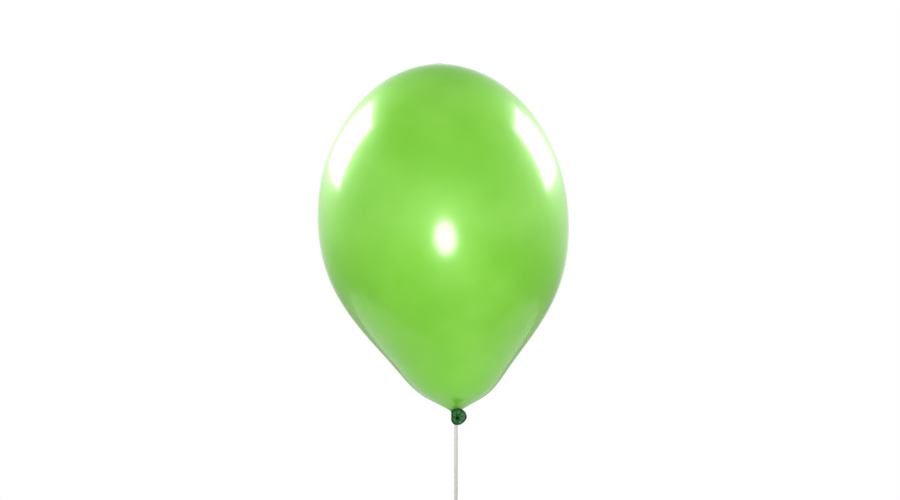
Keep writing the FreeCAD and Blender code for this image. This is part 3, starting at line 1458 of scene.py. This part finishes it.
@dataclass
class Floor:
    """Pale oval floor with a softened edge, well below the ribbon's loop."""

    height: float = -0.30
    centre: float = 0.405
    radii: Pair = (0.85, 0.545)
    edge: float = 0.012
    edge_steps: int = 6
    around: int = 128
    inner_rings: tuple[float, ...] = (0.25, 0.5, 0.75, 0.95)
    paint: tuple[Colour, Colour] = (tint("B0B0AE"), tint("BABAB8"))
    mottle_scale: float = 14.0
    roughness: Pair = (0.7, 0.8)

    def build(self) -> None:
        """Build the floor and paint it."""
        wide, deep = self.radii
        drop = np.linspace(0, QUARTER_TURN, self.edge_steps)
        outline = [(share, 0.0) for share in self.inner_rings]
        outline += [(1 - self.edge * (1 - math.sin(a)), self.edge * (math.cos(a) - 1)) for a in drop]
        outline += [(1.0, -2 * self.edge)]
        angle = ring_angles(self.around)
        oval = np.stack([wide * np.cos(angle), deep * np.sin(angle), np.zeros_like(angle)], axis=1)
        rings = np.stack([share * oval + z * UP for share, z in reversed(outline)])
        floor = skin_over_rings("floor", rings + (0, self.centre, self.height))
        material, sheet = new_sheet("floor_paint")
        mottle = sheet.noise(self.mottle_scale, detail=3.0)
        sheet.surface(
            Base_Color=sheet.mix(mottle, *self.paint), Roughness=mottle.within(*self.roughness)
        )
        floor.data.materials.append(material)


@dataclass
class Studio:
    """White sweep, pale floor, softboxes and the camera."""

    view_centre: Pair = (-0.0060, 0.1924)
    view_width: float = 1.0755
    view_distance: float = 3.0
    sensor: float = 36.0
    surround: float = 0.78
    behind_edge: Pair = (0.93, 0.995)
    dim_above: float = 0.42
    above_edge: Pair = (0.25, 0.8)
    dim_below: float = 0.44
    below_edge: Pair = (0.0, 0.24)
    softboxes: tuple[Softbox, ...] = (
        Softbox("left_softbox", (-1.5, 1.14, 1.23), (0.0, 1.14, 1.23), (1.55, 1.12), 13.0, roll=-12.0),
        Softbox("right_softbox", (1.5, 1.16, 1.20), (0.0, 1.16, 1.20), (1.45, 1.04), 12.0, roll=10.0),
        Softbox("front_softbox", (0.08, -3.5, -0.4), (0.08, 0.0, -0.4), (1.17, 1.27), 16.5, LightShape.OVAL),
        Softbox("top_fill", (0.0, -0.1, 2.2), (0.0, 0.0, 0.2), (1.6, 1.6), 0.95, mirrored=False),
        Softbox("low_fill", (0.0, -1.2, -1.2), (0.0, 0.0, 0.1), (1.2, 1.2), 0.7, mirrored=False),
    )

    def camera(self) -> None:
        """Place the camera level with the balloon's middle, looking along +Y."""
        data = bpy.data.cameras.new("camera")
        data.sensor_width = self.sensor
        data.lens = self.sensor * self.view_distance / self.view_width
        camera = bpy.data.objects.new("camera", data)
        camera.location = (self.view_centre[0], -self.view_distance, self.view_centre[1])
        camera.rotation_euler = (QUARTER_TURN, 0, 0)
        bpy.context.scene.collection.objects.link(camera)
        bpy.context.scene.camera = camera

    def sweep(self) -> None:
        """White surround, dimmer to the sides, above and below than straight behind."""
        world = bpy.data.worlds.new("sweep")
        bpy.context.scene.world = world
        world.use_nodes = True
        sheet = NodeSheet(world.node_tree)
        way = sheet.node("ShaderNodeTexCoord")["Generated"]
        parts = sheet.node("ShaderNodeSeparateXYZ", {}, {"Vector": way})
        behind, above, below = parts["Y"], parts["Z"], -1.0 * parts["Z"]
        level = self.surround + behind.step(*self.behind_edge) * (1.0 - self.surround)
        level = level - above.step(*self.above_edge) * self.dim_above
        level = level - below.step(*self.below_edge) * self.dim_below
        unseen = sheet.node("ShaderNodeBackground", {}, {"Color": WHITE, "Strength": level})
        seen = sheet.node("ShaderNodeBackground", {}, {"Color": WHITE, "Strength": 1.0})
        from_camera = sheet.node("ShaderNodeLightPath")["Is Camera Ray"]
        inputs = {0: from_camera, 1: unseen["Background"], 2: seen["Background"]}
        shader = sheet.node("ShaderNodeMixShader", {}, inputs)["Shader"]
        sheet.node("ShaderNodeOutputWorld", {}, {"Surface": shader})

    def build(self) -> None:
        """Build the camera, surround, floor and lights."""
        self.camera()
        self.sweep()
        Floor().build()
        for softbox in self.softboxes:
            softbox.build()
        bpy.context.scene.view_settings.view_transform = "Standard"


def main() -> None:
    """Build the studio, then the ribbon, skin, knot and mouth."""
    logging.basicConfig(level=logging.INFO, format="%(name)s: %(message)s")
    Studio().build()
    low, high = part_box("envelope")
    crown = ((low.x + high.x) / 2, 0.0, high.z)
    line = StemLine()
    pearl = Dressing(PearlLatex(crown).build(), Slot.PEARL)
    thick = Dressing(ThickLatex().build(), Slot.THICK)
    rolled = Dressing(lip_latex().build(), Slot.THICK)
    inside = Dressing(mouth_latex(line).build(), Slot.THICK)
    stock = RibbonStock(Dressing(CurlingRibbon().build(), Slot.RIBBON))
    tie = RibbonTie(stock, line)
    tie.build()
    RibbonRun(stock, line, tie).build()
    Skin(pearl).build()
    Knot(thick, line).build()
    Stem(thick, line).build()
    Mouth(inside, rolled, line).build()


if __name__ == "__main__":
    main()
